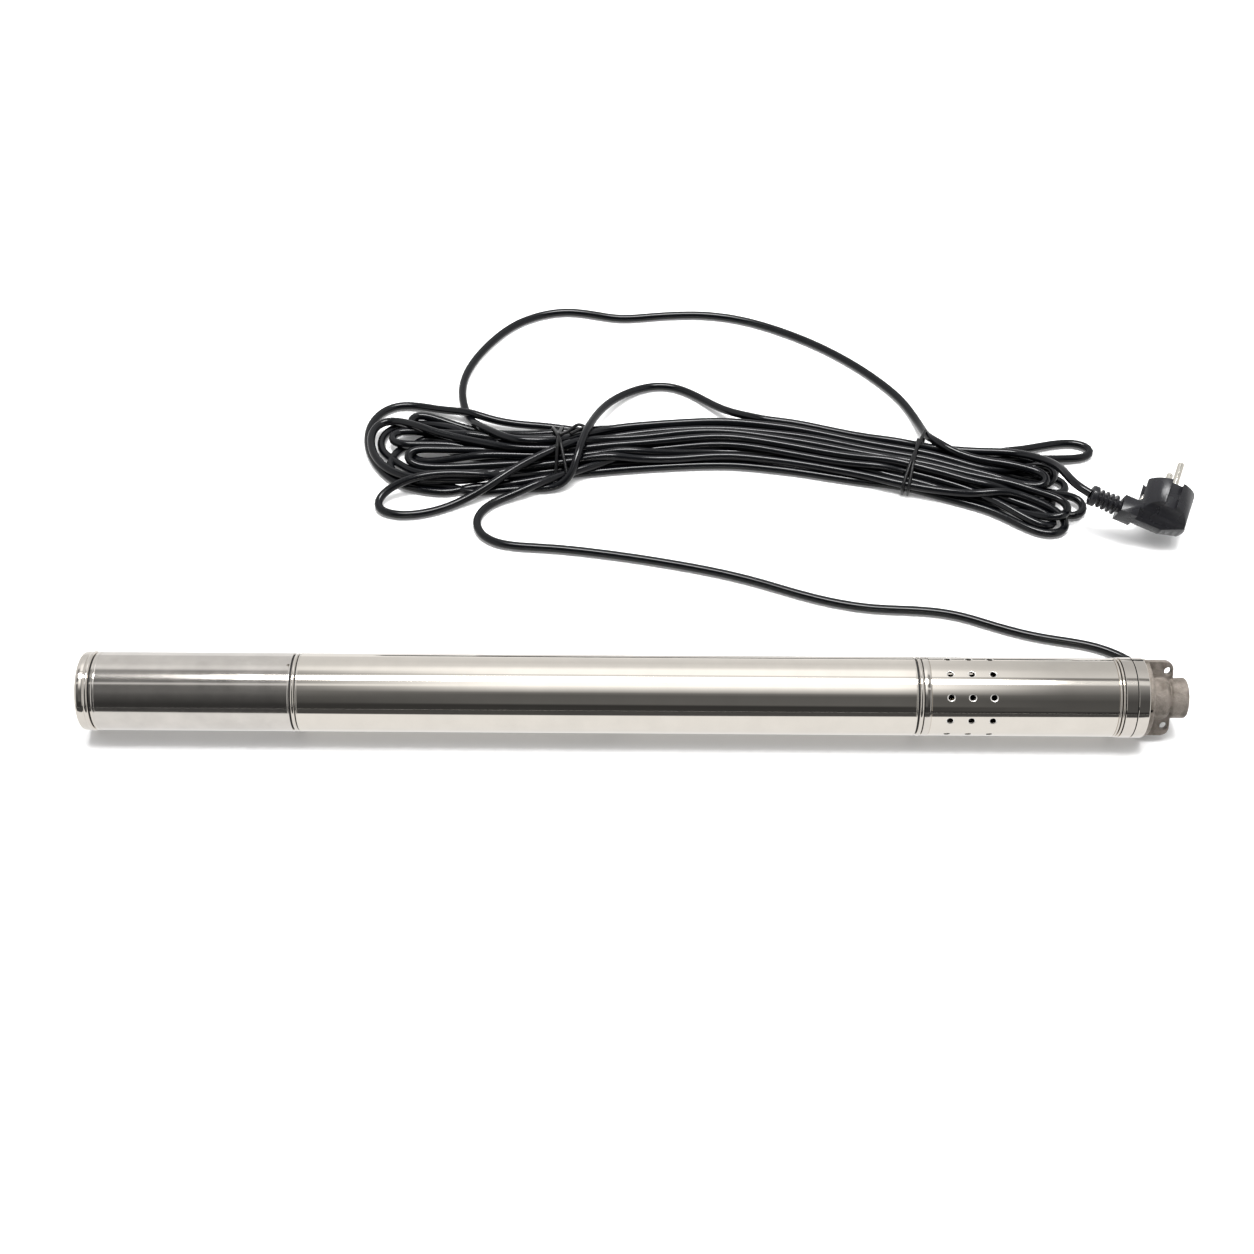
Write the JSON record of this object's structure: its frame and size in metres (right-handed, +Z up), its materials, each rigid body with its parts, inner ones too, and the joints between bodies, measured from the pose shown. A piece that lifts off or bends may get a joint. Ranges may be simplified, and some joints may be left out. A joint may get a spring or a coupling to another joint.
{
  "type": "borehole submersible pump",
  "caption": "Slim cylindrical borehole submersible pump with a screw stage inside, lying with its supply cable in a tied hank that ends in an angled mains plug.",
  "frame": {"origin": "under the middle of the pump's length, on the floor it lies on, below its axis", "axes": "+X runs along the pump's axis towards the outlet, +Z is up, and the cable hank lies on the +Y side"},
  "size_m": [0.7433, 0.4464, 0.051],
  "materials": {
    "polished_steel": "mirror polished stainless steel",
    "satin_steel": "satin turned stainless steel",
    "cast_head": "fine sandy cast stainless steel",
    "cast_bells": "as cast and machined",
    "black_rubber": "matt",
    "cable_sheath": "semi-gloss black rubber sheath",
    "black_plastic": "semi-gloss",
    "white_plastic": "gloss",
    "brass": "machined",
    "copper_wire": "varnished copper",
    "laminations": "stacked sheet steel",
    "ceramic": "lapped ceramic",
    "carbon": "lapped carbon",
    "ground_steel": "ground",
    "hard_chrome": "polished hard chrome",
    "nickel_plate": "bright nickel plate"
  },
  "bodies": {
    "pump": {"bottom_cap": "satin_steel", "housing_o_rings": "black_rubber", "capacitor_housing": "polished_steel", "capacitor": "white_plastic", "capacitor_cradles": "black_plastic", "capacitor_leads": "copper_wire", "joint_ring": "satin_steel", "lock_screw": "satin_steel", "motor_shell": "polished_steel", "lower_end_bell": "cast_bells", "lead_bush": "black_rubber", "oil_plug": "brass", "stator_core": "laminations", "windings": "copper_wire", "thermal_protector": "black_plastic", "upper_end_bell": "cast_bells", "oil_seal": "black_rubber", "seal_cover": "satin_steel", "seal_seat": "ceramic", "cable_bush": "black_rubber", "lower_bearing_outer": "ground_steel", "upper_bearing_outer": "ground_steel", "coupling_band": "satin_steel", "band_o_rings": "black_rubber", "pump_shell": "polished_steel", "screw_stator": "black_rubber", "stator_sleeve": "satin_steel", "stator_spider": "satin_steel", "head_collar": "satin_steel", "head_gasket": "black_rubber", "discharge_head": "cast_head", "cable_gland": "brass", "cable_boot": "black_rubber", "motor_cable": "cable_sheath", "supply_cable": "cable_sheath", "cable_hank": "cable_sheath", "cable_loop": "cable_sheath", "cable_arc": "cable_sheath", "cable_tail": "cable_sheath", "cable_ties": "cable_sheath", "plug_body": "black_plastic", "plug_relief": "black_plastic", "plug_pins": "nickel_plate", "plug_earth_clips": "nickel_plate"},
    "motor_rotor": {"motor_shaft": "ground_steel", "rotor_core": "laminations", "lower_bearing_inner": "ground_steel", "upper_bearing_inner": "ground_steel", "seal_spring": "ground_steel", "seal_ring": "carbon", "sand_slinger": "black_rubber", "shaft_coupling": "ground_steel", "coupling_pin": "satin_steel"},
    "lower_ball_set": {"lower_bearing_balls": "ground_steel", "lower_bearing_cage": "brass"},
    "upper_ball_set": {"upper_bearing_balls": "ground_steel", "upper_bearing_cage": "brass"},
    "flexible_drive": {"flexible_shaft": "satin_steel"},
    "screw": {"screw_rotor": "hard_chrome"}
  },
  "joints": [
    {"name": "motor_spin", "type": "hinge", "parent": "pump", "child": "motor_rotor", "pos_m": [0, 0, 0.0255], "axis": [1, 0, 0], "continuous": true},
    {"name": "lower_balls_spin", "type": "hinge", "parent": "pump", "child": "lower_ball_set", "pos_m": [-0.18785, 0, 0.0255], "axis": [1, 0, 0], "continuous": true},
    {"name": "upper_balls_spin", "type": "hinge", "parent": "pump", "child": "upper_ball_set", "pos_m": [0.13375, 0, 0.0255], "axis": [1, 0, 0], "continuous": true},
    {"name": "orbit_spin", "type": "hinge", "parent": "pump", "child": "flexible_drive", "pos_m": [0.21, 0, 0.0255], "axis": [1, 0, 0], "continuous": true},
    {"name": "screw_spin", "type": "hinge", "parent": "flexible_drive", "child": "screw", "pos_m": [0.28, 0, 0.0235], "axis": [1, 0, 0], "continuous": true}
  ],
  "couplings": [
    {"joint": "lower_balls_spin", "follows": "motor_spin", "ratio": 0.3678},
    {"joint": "upper_balls_spin", "follows": "motor_spin", "ratio": 0.381},
    {"joint": "orbit_spin", "follows": "motor_spin", "ratio": -1},
    {"joint": "screw_spin", "follows": "motor_spin", "ratio": 2}
  ]
}
